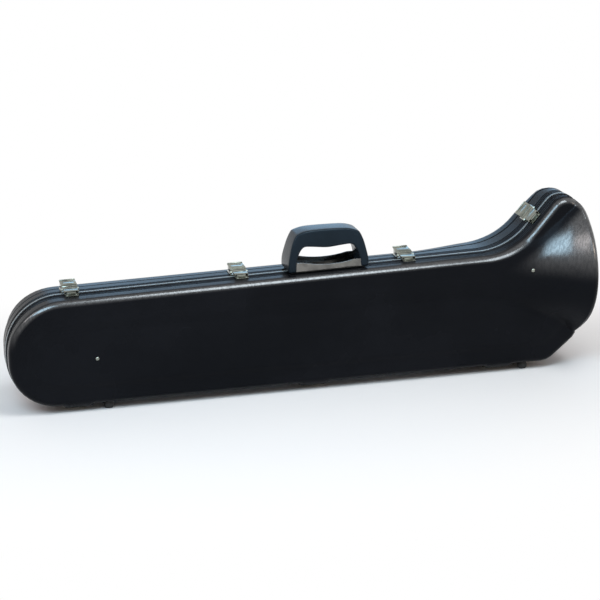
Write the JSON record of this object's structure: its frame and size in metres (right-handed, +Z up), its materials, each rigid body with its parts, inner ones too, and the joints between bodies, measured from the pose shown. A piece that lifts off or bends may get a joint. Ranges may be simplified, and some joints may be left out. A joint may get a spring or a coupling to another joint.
{
  "type": "trombone case",
  "caption": "Moulded black trombone case standing on its hinge side, with draw latches, a hinged lid, plush-lined shells and a carrying handle.",
  "frame": {"origin": "on the floor under the middle of the case's bounding box", "axes": "+X along the case to the bell end, +Y through its thickness from the lid to the back shell, +Z up towards the handle"},
  "size_m": [0.9458, 0.2395, 0.2921],
  "materials": {
    "shell_black": "fine leather grain, satin",
    "handle_black": "moulded, satin",
    "nickel_plate": "nickel plated, lightly worn",
    "foot_rubber": "matt",
    "plush_lining": "short pile",
    "block_wood": "oiled beech",
    "tongue_aluminium": "extruded, matt"
  },
  "bodies": {
    "case": {"back_shell": "shell_black", "back_liner_slim": "plush_lining", "back_liner_neck": "plush_lining", "back_liner_bell": "plush_lining", "seam_tongue": "tongue_aluminium", "handle": "handle_black", "handle_bracket": "nickel_plate", "handle_pin_slim": "nickel_plate", "handle_pin_bell": "nickel_plate", "hinge_1_back_leaf": "nickel_plate", "hinge_1_pin": "nickel_plate", "hinge_2_back_leaf": "nickel_plate", "hinge_2_pin": "nickel_plate", "hinge_3_back_leaf": "nickel_plate", "hinge_3_pin": "nickel_plate", "back_foot_1": "foot_rubber", "back_foot_2": "foot_rubber", "latch_1_base": "nickel_plate", "latch_1_pin": "nickel_plate", "latch_2_base": "nickel_plate", "latch_2_pin": "nickel_plate", "latch_3_base": "nickel_plate", "latch_3_pin": "nickel_plate", "latch_4_base": "nickel_plate", "latch_4_pin": "nickel_plate"},
    "lid": {"front_shell": "shell_black", "front_liner_slide": "plush_lining", "front_liner_bell": "plush_lining", "hinge_1_front_leaf": "nickel_plate", "hinge_2_front_leaf": "nickel_plate", "hinge_3_front_leaf": "nickel_plate", "front_foot_1": "foot_rubber", "front_foot_2": "foot_rubber", "lid_rivet_1": "nickel_plate", "lid_rivet_2": "nickel_plate", "slide_block_1": "block_wood", "slide_block_2": "block_wood", "clip_screw_1": "nickel_plate", "clip_screw_2": "nickel_plate", "latch_1_keeper": "nickel_plate", "latch_2_keeper": "nickel_plate", "latch_3_keeper": "nickel_plate", "latch_4_keeper": "nickel_plate"},
    "slide_clip_1": {"slide_clip_1": "nickel_plate"},
    "slide_clip_2": {"slide_clip_2": "nickel_plate"},
    "latch_1_lever": {"latch_1_lever": "nickel_plate"},
    "latch_1_draw_plate": {"latch_1_draw_plate": "nickel_plate"},
    "latch_2_lever": {"latch_2_lever": "nickel_plate"},
    "latch_2_draw_plate": {"latch_2_draw_plate": "nickel_plate"},
    "latch_3_lever": {"latch_3_lever": "nickel_plate"},
    "latch_3_draw_plate": {"latch_3_draw_plate": "nickel_plate"},
    "latch_4_lever": {"latch_4_lever": "nickel_plate"},
    "latch_4_draw_plate": {"latch_4_draw_plate": "nickel_plate"}
  },
  "joints": [
    {"name": "lid_hinge", "type": "hinge", "parent": "case", "child": "lid", "pos_m": [0, -0.009, 0.0037], "axis": [1, 0, 0], "range_deg": [0, 180]},
    {"name": "latch_1_lever_hinge", "type": "hinge", "parent": "case", "child": "latch_1_lever", "pos_m": [-0.3681, 0.0005, 0.19082], "axis": [0.9997, 0, 0.0236], "range_deg": [0, 90]},
    {"name": "latch_1_draw_hinge", "type": "hinge", "parent": "latch_1_lever", "child": "latch_1_draw_plate", "pos_m": [-0.36817, 0.0045, 0.19382], "axis": [0.9997, 0, 0.0236], "range_deg": [-99, 0]},
    {"name": "latch_2_lever_hinge", "type": "hinge", "parent": "case", "child": "latch_2_lever", "pos_m": [-0.0981, 0.0005, 0.19721], "axis": [0.9997, 0, 0.0236], "range_deg": [0, 90]},
    {"name": "latch_2_draw_hinge", "type": "hinge", "parent": "latch_2_lever", "child": "latch_2_draw_plate", "pos_m": [-0.09817, 0.0045, 0.20021], "axis": [0.9997, 0, 0.0236], "range_deg": [-99, 0]},
    {"name": "latch_3_lever_hinge", "type": "hinge", "parent": "case", "child": "latch_3_lever", "pos_m": [0.1799, 0.0005, 0.20378], "axis": [0.9997, 0, 0.0236], "range_deg": [0, 90]},
    {"name": "latch_3_draw_hinge", "type": "hinge", "parent": "latch_3_lever", "child": "latch_3_draw_plate", "pos_m": [0.17983, 0.0045, 0.20678], "axis": [0.9997, 0, 0.0236], "range_deg": [-99, 0]},
    {"name": "latch_4_lever_hinge", "type": "hinge", "parent": "case", "child": "latch_4_lever", "pos_m": [0.394, 0.0005, 0.25781], "axis": [0.6428, 0, 0.766], "range_deg": [0, 90]},
    {"name": "latch_4_draw_hinge", "type": "hinge", "parent": "latch_4_lever", "child": "latch_4_draw_plate", "pos_m": [0.3917, 0.0045, 0.25974], "axis": [0.6428, 0, 0.766], "range_deg": [-99, 0]},
    {"name": "slide_clip_1_turn", "type": "hinge", "parent": "lid", "child": "slide_clip_1", "pos_m": [-0.3357, -0.0205, 0.077], "axis": [0, 1, 0], "range_deg": [0, 90]},
    {"name": "slide_clip_2_turn", "type": "hinge", "parent": "lid", "child": "slide_clip_2", "pos_m": [0.15, -0.0205, 0.077], "axis": [0, 1, 0], "range_deg": [0, 90]}
  ],
  "couplings": [
    {"joint": "latch_1_draw_hinge", "follows": "latch_1_lever_hinge", "ratio": -1.1},
    {"joint": "latch_2_draw_hinge", "follows": "latch_2_lever_hinge", "ratio": -1.1},
    {"joint": "latch_3_draw_hinge", "follows": "latch_3_lever_hinge", "ratio": -1.1},
    {"joint": "latch_4_draw_hinge", "follows": "latch_4_lever_hinge", "ratio": -1.1}
  ]
}
